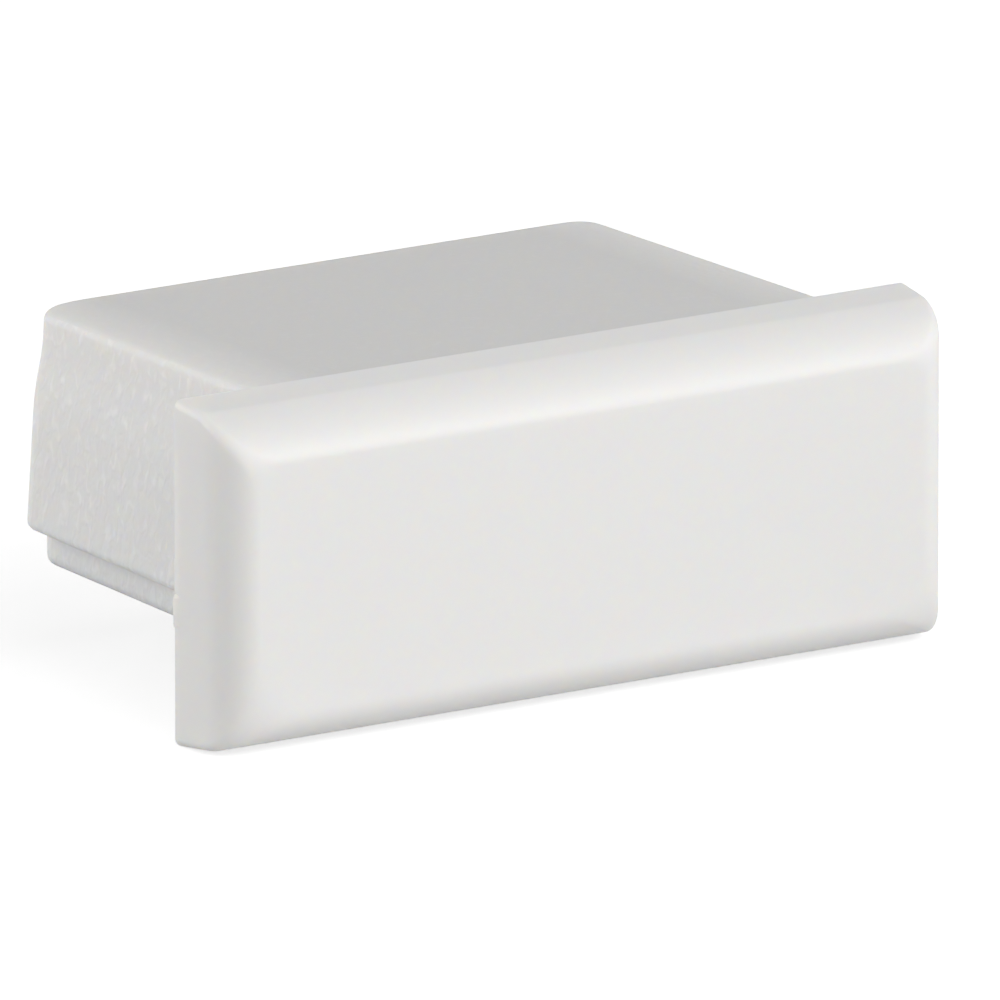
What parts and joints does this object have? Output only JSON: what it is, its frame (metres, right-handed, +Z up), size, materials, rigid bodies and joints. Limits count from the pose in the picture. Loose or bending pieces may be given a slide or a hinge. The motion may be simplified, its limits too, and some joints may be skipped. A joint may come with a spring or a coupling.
{
  "type": "profile end cap",
  "caption": "Moulded end cap for a slim rectangular surface profile: a flat face plate with a stepped plug that pushes into the profile's channel and closes its cut end.",
  "frame": {"origin": "middle of the plate's outline on the seat face, the back of the plate that meets the profile's cut end", "axes": "+X across the profile's width, +Y from the seat face along the plug into the profile, +Z up through the plate's height"},
  "size_m": [0.0175, 0.0104, 0.0072],
  "materials": {
    "white_plastic": "satin, faintly grained on the plug"
  },
  "bodies": {
    "root": {"end_cap": "white_plastic"}
  },
  "joints": []
}
